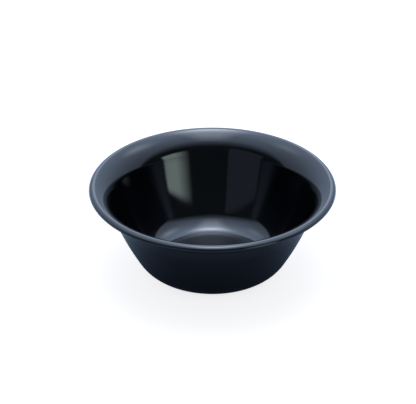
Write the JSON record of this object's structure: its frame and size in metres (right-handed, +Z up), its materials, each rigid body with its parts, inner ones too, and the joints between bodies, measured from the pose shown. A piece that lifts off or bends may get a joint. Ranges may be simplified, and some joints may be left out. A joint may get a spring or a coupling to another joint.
{
  "type": "hair color mixing bowl",
  "caption": "Round glossy black mixing bowl with a flared mouth, a rolled lip, a wall that rounds into a flat floor, and a soft anti-slip ring under its base.",
  "frame": {"origin": "centre of the resting face, under the base", "axes": "+Z up along the bowl's axis; the bowl is round, so X and Y are alike"},
  "size_m": [0.14, 0.14, 0.0528],
  "materials": {
    "bowl_plastic": "glossy blue-black moulded plastic",
    "ring_rubber": "matte black soft rubber"
  },
  "bodies": {
    "root": {"bowl": "bowl_plastic", "anti_slip_ring": "ring_rubber"}
  },
  "joints": []
}
